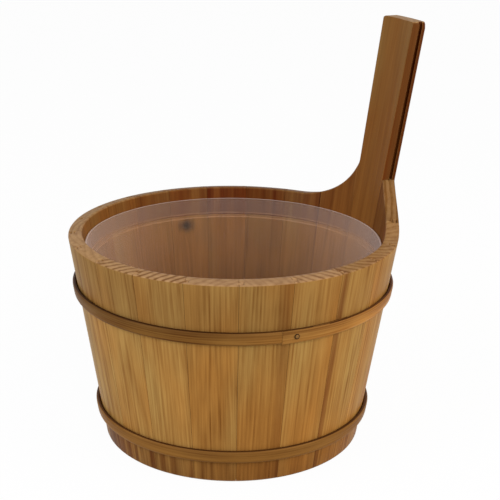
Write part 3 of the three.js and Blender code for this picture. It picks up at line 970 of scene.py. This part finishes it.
def hoop_layer(along):
    """How far a hoop's two faces are from the staves, between its under end, 0, and its over end, 1."""
    lap_share = LAP_ANGLE / HOOP_TURN
    rise = (HOOP_THICKNESS - LAP_TIP) / lap_share
    over = along - (1 - lap_share)
    if over <= 0:
        return 0.0, min(HOOP_THICKNESS, LAP_TIP + rise * along)
    inner = LAP_TIP + rise * over + LAP_GAP
    return inner, max(HOOP_THICKNESS, inner + LAP_TIP)


def make_hoop(node, hoop, look):
    """A strip that is marked with its grain and bent round the staves."""
    mesh = make_strip()
    length = HOOP_TURN * outer_radius(hoop["bottom"])
    middle = HOOP_HEIGHT / 2
    mark_grain(mesh, look, lambda p: (p.z - middle, p.y * HOOP_THICKNESS, p.x * length))
    for vert in mesh.verts:
        inner, outer = hoop_layer(vert.co.x)
        height = hoop["bottom"] + vert.co.z
        radius = outer_radius(height) + FIT + inner + (outer - inner) * vert.co.y
        vert.co = polar(radius, hoop["lap_end"] + HOOP_TURN * (1 - vert.co.x), height)
    # Painted shade on the strip's upward faces
    mark_faces(mesh, "coat", lambda face: TOP_SHADE if face.normal.z > TOP_SLOPE else 0.0)
    return finish_piece(mesh, f"{node}_bent", node, "bucket", hoop_wood, HOOP_EASE)


# Tones along each strip, from its under end, as (millimetres, tone)
UPPER_HOOP_TONES = [
    (0, 0.9), (55, 1.0), (85, 0.8), (110, 0.71), (250, 0.66),
    (600, 1.0), (740, 1.7), (780, 1.4), (826, 1.02),
]
LOWER_HOOP_TONES = [(0, 0.9), (270, 0.95), (440, 0.78), (530, 0.95), (718, 0.9)]
STRIP_TOP = HOOP_HEIGHT / 2 / MM
# The dark band at the top of each strip paints its upper half darker
upper_look = new_look(tone=UPPER_HOOP_TONES, pith_turn=70, heart=(STRIP_TOP, 8, 0.5), warmth=-0.15)
make_hoop("upper_hoop", UPPER_HOOP, upper_look)
lower_look = new_look(tone=LOWER_HOOP_TONES, pith_turn=-66, heart=(STRIP_TOP, 7, 0.3), rings=0.8)
make_hoop("lower_hoop", LOWER_HOOP, lower_look)

# %% [markdown]
# ## Nails
# A small round headed nail holds each lap. It could be a sphere on a cylinder, but its outline is only
# a handful of points, so it is turned on the axis by a full spin and then driven in sideways, where the
# hoop is. The ring round its head is dark, partly iron stain and partly painted shade where the head
# meets the hoop, and its worn middle is brighter.

# %% Nail steel
NAIL_GRIT = 0.5 * MM
# Dark steel of the nail and the ring round its head: iron stain and painted shade
STAIN_AND_SHADE_STEEL = "#2c1a0c"
WORN_STEEL = "#8a6434"
SCRATCH_STARTS = 0.3
SCRATCH_ENDS = 0.6
LEAST_WEAR = 0.6
SHINIEST = 0.35
DULLEST = 0.6


def struck_steel():
    """Drawn steel wire with a struck head: dark and dull at its rim, partly stain and partly painted shade,
    worn bright in the middle.
    """
    material, tree = new_material("Struck steel nail")
    wear = add_node(tree, "Attribute", attribute_name="wear").outputs["Fac"]
    place = add_node(tree, "TexCoord").outputs["Object"]
    grit = add_node(tree, "TexNoise", {"Vector": place, "Scale": 1 / NAIL_GRIT, "Detail": 2})
    scratched = add_node(
        tree, "MapRange", {0: grit, 1: SCRATCH_STARTS, 2: SCRATCH_ENDS, 3: LEAST_WEAR, 4: 1}
    )
    worn = add_node(tree, "Math", {0: wear, 1: scratched}, operation="MULTIPLY")
    inputs = {MIX_SHARE: worn, MIX_A: linear(STAIN_AND_SHADE_STEEL), MIX_B: linear(WORN_STEEL)}
    colour = add_node(tree, "Mix", inputs, data_type="RGBA")
    dullness = add_node(tree, "MapRange", {0: grit, 3: SHINIEST, 4: DULLEST})
    surface = add_node(tree, "BsdfPrincipled", {
        "Base Color": colour, "Metallic": 0.5, "Roughness": dullness, "Specular IOR Level": 0.1,
    })
    add_node(tree, "OutputMaterial", {"Surface": surface})
    return material


nail_steel = struck_steel()
print("nails:", nail_steel.name)

# %% Turned nails
NAIL_HEAD = 2 * MM
NAIL_SHANK = 0.9 * MM
NAIL_HEAD_THICKNESS = 0.7 * MM
NAIL_LENGTH = 10 * MM
TURN_STEPS = 32
# The head, a low ring round a domed middle, in shares of its radius and its thickness
HEAD_OUTLINE = ((1, 0), (1, 0.45), (0.9, 0.62), (0.72, 0.6), (0.6, 0.78), (0.35, 0.95), (0, 1))
WORN_SHARE = 0.65


def turn_profile(points, steps):
    """A closed shape turned on the axis from an outline of (radius, height) points."""
    mesh = bmesh.new()
    verts = [mesh.verts.new((radius, 0, height)) for radius, height in points]
    edges = [mesh.edges.new(pair) for pair in zip(verts, verts[1:])]
    bmesh.ops.spin(
        mesh, geom=[*verts, *edges], cent=(0, 0, 0), axis=(0, 0, 1), angle=math.tau, steps=steps,
        use_merge=True,
    )
    bmesh.ops.remove_doubles(mesh, verts=mesh.verts, dist=MERGE)
    return mesh


def make_nail(node, hoop):
    """A nail, turned upright and then driven in from outside."""
    shank = [(0, -NAIL_LENGTH), (NAIL_SHANK, 2 * NAIL_SHANK - NAIL_LENGTH), (NAIL_SHANK, 0)]
    head = [(NAIL_HEAD * out, NAIL_HEAD_THICKNESS * up) for out, up in HEAD_OUTLINE]
    mesh = turn_profile(shank + head, TURN_STEPS)
    wear = mesh.verts.layers.float.new("wear")
    for vert in mesh.verts:
        vert[wear] = 1.0 if vert.co.xy.length < NAIL_HEAD * WORN_SHARE and vert.co.z > 0 else 0.0
    height = hoop["bottom"] + HOOP_HEIGHT / 2
    along = 1 - (hoop["nail"] - hoop["lap_end"]) / HOOP_TURN
    seat = outer_radius(height) + 2 * FIT + hoop_layer(along)[1]
    driven = Matrix.Rotation(hoop["nail"], 4, "Z") @ Matrix.Translation((seat, 0, height))
    bmesh.ops.transform(mesh, matrix=driven @ Matrix.Rotation(math.pi / 2, 4, "Y"), verts=mesh.verts)
    return finish_piece(mesh, f"{node}_driven", node, "bucket", nail_steel, 0)


make_nail("upper_hoop_nail", UPPER_HOOP)
make_nail("lower_hoop_nail", LOWER_HOOP)

# %% [markdown]
# ## Bottom
# Three boards, pinned edge to edge with dowels, fill the croze. Each is a disc cut along two
# straight lines, so a circle is sawn twice and raised, which is simpler than drawing its arcs. Their
# edges are eased, which draws the fine lines between them.

# %% Bottom boards
BOARD_RADIUS = (board_high.x - board_low.x) / 2
BOARD_SIDES = 120
BOARD_EASE = 0.6 * MM


def make_board(node, look):
    """One board of the bottom, between the two lines of its node's box."""
    low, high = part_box(node)
    mesh = bmesh.new()
    bmesh.ops.create_circle(mesh, cap_ends=True, radius=BOARD_RADIUS, segments=BOARD_SIDES)
    for line, away in ((low.y, -1), (high.y, 1)):
        saw_off(mesh, (0, line - AXIS.y, 0), (0, away, 0))
    bmesh.ops.translate(mesh, verts=mesh.verts, vec=(0, 0, low.z))
    raise_faces(mesh, mesh.faces[:], high.z - low.z, keep=True)
    middle = (low.y + high.y) / 2 - AXIS.y
    mark_grain(mesh, look, lambda point: (point.y - middle, point.z - low.z, point.x))
    return finish_piece(mesh, f"{node}_planed", node, "bucket", board_wood, BOARD_EASE)


for side in ("left", "middle", "right"):
    make_board(f"bottom_board_{side}", new_look(rings=1.1))

# %% [markdown]
# ## Dowels
# The dowels are plain turned pins, hidden in the boards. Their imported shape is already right, so it
# stays, and only a pale birch is laid on it.

# %% Dowels in the boards
DOWELS = 4
DOWEL_FIBRE_WIDTH = 0.6 * MM
DOWEL_FIBRE_LENGTH = 9 * MM


def turned_birch():
    """Birch, turned on a lathe: pale and even, with short fibres along the dowel."""
    material, tree = new_material("Turned birch dowel")
    place = add_node(tree, "TexCoord").outputs["Object"]
    fineness = (1 / DOWEL_FIBRE_WIDTH, 1 / DOWEL_FIBRE_LENGTH, 1 / DOWEL_FIBRE_WIDTH)
    fibre = add_node(tree, "VectorMath", {0: place, 1: fineness}, operation="MULTIPLY")
    speckle = add_node(tree, "TexNoise", {"Vector": fibre, "Scale": 1, "Detail": 3})
    inputs = {MIX_SHARE: speckle, MIX_A: linear("#d8bd8d"), MIX_B: linear("#b8935c")}
    colour = add_node(tree, "Mix", inputs, data_type="RGBA")
    surface = add_node(tree, "BsdfPrincipled", {"Base Color": colour, "Roughness": 0.6})
    add_node(tree, "OutputMaterial", {"Surface": surface})
    return material


birch = turned_birch()
for i in range(1, DOWELS + 1):
    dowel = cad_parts[f"bottom_dowel_{i}"]
    dowel.data.materials.clear()
    dowel.data.materials.append(birch)
print(DOWELS, "dowels of", birch.name)

# %% [markdown]
# ## Liner
# The liner is a frosted tub of polypropylene, moulded with a step below its edge. It lets the wood
# show through as if in mist. A rough glass shader would be truer but grainy; a thin milky skin that
# lets most light straight through looks the same at this distance. The tub is one turned outline,
# up its outside, over the edge and down its inside.

# %% Frosted plastic
VEIL_FACING = 0.04
VEIL_SLANTED = 0.37
VEIL_STARTS = 0.1
MIST_SIZE = 18 * MM
MIST_DENSITY = 0.04
FROST_SIZE = 1.5 * MM
FROST_DEPTH = 0.1 * MM
FROST_STRENGTH = 0.12
MILKY_COLOUR = "#ccb09e"
# Warm colour of the step's fine lines, painted highlights where its edges catch light
STEP_HIGHLIGHT = "#e3b086"
FROST_SHEEN = "#ece8f0"


def frosted_plastic():
    """Moulded polypropylene: a milky satin skin, denser where it is thick or seen at a slant; the step's
    fine lines are painted highlights.
    """
    material, tree = new_material("Frosted polypropylene")
    place = add_node(tree, "TexCoord").outputs["Object"]
    milk_and_highlight = add_node(tree, "Attribute", attribute_name="milk_and_highlight").outputs["Fac"]
    # The step's fine lines carry painted highlights
    step = add_node(tree, "Attribute", attribute_name="step").outputs["Fac"]
    mist = add_node(tree, "TexNoise", {"Vector": place, "Scale": 1 / MIST_SIZE, "Detail": 2})
    frost = add_node(tree, "TexNoise", {"Vector": place, "Scale": 1 / FROST_SIZE, "Detail": 2})
    bump = add_node(tree, "Bump", {"Height": frost, "Strength": FROST_STRENGTH, "Distance": FROST_DEPTH})
    slant = add_node(tree, "LayerWeight", {"Blend": 0.5}).outputs["Facing"]
    veil = add_node(tree, "MapRange", {0: slant, 1: VEIL_STARTS, 2: 1.0, 3: VEIL_FACING, 4: VEIL_SLANTED})
    clouded = add_node(tree, "Math", {0: mist, 1: MIST_DENSITY, 2: veil}, operation="MULTIPLY_ADD")
    dense = add_node(tree, "Math", {0: clouded, 1: milk_and_highlight}, operation="ADD", use_clamp=True)
    inputs = {MIX_SHARE: step, MIX_A: linear(MILKY_COLOUR), MIX_B: linear(STEP_HIGHLIGHT)}
    colour = add_node(tree, "Mix", inputs, data_type="RGBA")
    surface = add_node(tree, "BsdfPrincipled", {
        "Base Color": colour, "Roughness": 0.38, "IOR": 1.49, "Alpha": dense, "Normal": bump,
        "Sheen Weight": 0.5, "Sheen Roughness": 0.4, "Sheen Tint": linear(FROST_SHEEN),
    })
    add_node(tree, "OutputMaterial", {"Surface": surface})
    return material


liner_plastic = frosted_plastic()
print("liner:", liner_plastic.name)

# %% Turned liner
LINER_STEP_TOP = 146.7 * MM
LINER_STEP_BOTTOM = 143.9 * MM
LINER_WALL = 1.5 * MM
LINER_BAND_GAP = 0.8 * MM
LINER_BODY_GAP = 2.4 * MM
LINER_CORNER = 8 * MM
LINER_CORNER_STEPS = 6
LINER_STEPS = 160
LINER_EASE = 0.4 * MM
LINE_WIDTH = 0.5 * MM
EDGE_DENSITY = 0.5
# How dense the painted highlight lines on the step are
HIGHLIGHT_DENSITY = 0.16
BAND_DENSITY = 0.05
liner_low, liner_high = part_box("liner")


def liner_side(inset):
    """One side of the liner's outline, from its floor to its edge, inset by 0 or by its wall."""
    corner_height = liner_low.z + LINER_CORNER
    reach = LINER_CORNER - inset
    corner_radius = outer_radius(corner_height) - WALL - LINER_BODY_GAP
    side = []
    for i in range(LINER_CORNER_STEPS + 1):
        turn = math.pi / 2 * i / LINER_CORNER_STEPS
        radius = corner_radius - LINER_CORNER + reach * math.sin(turn)
        side.append((radius, corner_height - reach * math.cos(turn)))
    heights = (
        (LINER_STEP_BOTTOM - LINE_WIDTH, LINER_BODY_GAP), (LINER_STEP_BOTTOM, LINER_BODY_GAP),
        (LINER_STEP_TOP, LINER_BAND_GAP), (LINER_STEP_TOP + LINE_WIDTH, LINER_BAND_GAP),
        (liner_high.z, LINER_BAND_GAP),
    )
    for height, gap in heights:
        side.append((outer_radius(height) - WALL - gap - inset, height))
    return side


def step_highlight_line(face):
    """1 on the fine lines above and below the step, painted highlights where its edges catch light."""
    height = face.calc_center_median().z
    near_step = min(abs(height - LINER_STEP_BOTTOM), abs(height - LINER_STEP_TOP))
    return 1.0 if near_step < LINE_WIDTH else 0.0


def milk_and_highlight_share(face):
    """How much denser the plastic is than its wall: at its edge and in the band, and on the step's lines as
    painted highlights.
    """
    height = face.calc_center_median().z
    if height > liner_high.z - MERGE:
        return EDGE_DENSITY
    return max(HIGHLIGHT_DENSITY * step_highlight_line(face), BAND_DENSITY if height > LINER_STEP_TOP else 0.0)


def make_liner():
    """The tub: its outside, its edge and its inside in one turn."""
    outside, inside = liner_side(0), liner_side(LINER_WALL)
    outline = [(0, liner_low.z), *outside, *reversed(inside), (0, liner_low.z + LINER_WALL)]
    mesh = turn_profile(outline, LINER_STEPS)
    mark_faces(mesh, "milk_and_highlight", milk_and_highlight_share)
    mark_faces(mesh, "step", step_highlight_line)
    return finish_piece(mesh, "liner_frosted", "liner", "liner", liner_plastic, LINER_EASE)


make_liner()

# %% [markdown]
# ## Studio
# The photograph has a plain white ground. More light could bleach any floor, but it would bleach the
# bucket too. Instead the floor and the world are white for the camera and for reflections, and a share
# of the floor stays real paint, so that it keeps the bucket's soft shadow. A soft lamp stands beside the
# camera and lights the front and the inside, and two broad ones stand left and right of it: the left one
# is a little stronger and cooler, the right one a little warmer.

# %% Floor
FLOOR_SIZE = 16.0
SHADOW_SHARE = 0.04
PAPER_SEEN = "#f4f4f4"
PAPER_LIGHT = "#b0b0b0"


def seen_rays(tree):
    """1 for rays that show the background: from the camera, in gloss or through clear pieces."""
    rays = add_node(tree, "LightPath").outputs
    seen = add_node(tree, "Math", {0: rays["Is Camera Ray"], 1: rays["Is Glossy Ray"]}, operation="MAXIMUM")
    return add_node(tree, "Math", {0: seen, 1: rays["Is Transmission Ray"]}, operation="MAXIMUM")


def white_paper():
    """Studio paper: white where it is seen, with a share of matt paint that takes the shadow; it lights
    the bucket from below only as much as grey paper would."""
    material, tree = new_material("White studio paper")
    seen = seen_rays(tree)
    inputs = {MIX_SHARE: seen, MIX_A: linear(PAPER_LIGHT), MIX_B: linear(PAPER_SEEN)}
    tone = add_node(tree, "Mix", inputs, data_type="RGBA")
    paint = add_node(tree, "BsdfDiffuse", {"Color": tone})
    glow = add_node(tree, "Emission", {"Strength": 1})
    glow_share = add_node(tree, "Math", {0: seen, 1: 1 - SHADOW_SHARE}, operation="MULTIPLY")
    paper = add_node(tree, "MixShader", {0: glow_share, 1: paint, 2: glow})
    clear = add_node(tree, "BsdfTransparent")
    under = add_node(tree, "NewGeometry").outputs["Backfacing"]
    sided = add_node(tree, "MixShader", {0: under, 1: paper, 2: clear})
    add_node(tree, "OutputMaterial", {"Surface": sided})
    return material


floor_mesh = bmesh.new()
bmesh.ops.create_grid(floor_mesh, x_segments=1, y_segments=1, size=FLOOR_SIZE / 2)
floor_data = bpy.data.meshes.new("studio_floor")
floor_mesh.to_mesh(floor_data)
floor_mesh.free()
floor_data.materials.append(white_paper())
floor = bpy.data.objects.new("studio_floor", floor_data)
bpy.context.collection.objects.link(floor)
print(f"floor {FLOOR_SIZE:.0f} m across")

# %% Lamps and world
WORLD_LIGHT = 0.5
# Metres to the right of the bucket, away from the camera and up; size in metres, watts and colour
LAMPS = {
    "front_softbox": (0.3, -1.55, 1.0, 0.8, 11.5, "#ffffff"),
    "right_softbox": (1.35, -0.7, 0.8, 1.0, 12.5, "#fff3e8"),
    "left_softbox": (-1.3, -0.75, 0.8, 1.0, 14.0, "#e6eeff"),
}

aim = AXIS + upright * RIM_HEIGHT / 2
for name, (right, away, height, size, watts, colour) in LAMPS.items():
    lamp_data = bpy.data.lights.new(name, "AREA")
    lamp_data.energy = watts
    lamp_data.color = linear(colour)[:3]
    lamp_data.size = size
    lamp = bpy.data.objects.new(name, lamp_data)
    lamp.location = AXIS + right * photo_right + away * photo_away + height * upright
    lamp.rotation_mode = "QUATERNION"
    lamp.rotation_quaternion = (aim - lamp.location).to_track_quat("-Z", "Y")
    bpy.context.collection.objects.link(lamp)

world = bpy.data.worlds.new("studio")
bpy.context.scene.world = world
world.use_nodes = True
world.node_tree.nodes.clear()
sky = add_node(world.node_tree, "MapRange", {0: seen_rays(world.node_tree), 3: WORLD_LIGHT, 4: 1})
background = add_node(world.node_tree, "Background", {"Color": (1, 1, 1, 1), "Strength": sky})
add_node(world.node_tree, "OutputWorld", {"Surface": background})
bpy.context.scene.view_settings.view_transform = "Standard"
print("lamps:", ", ".join(LAMPS))
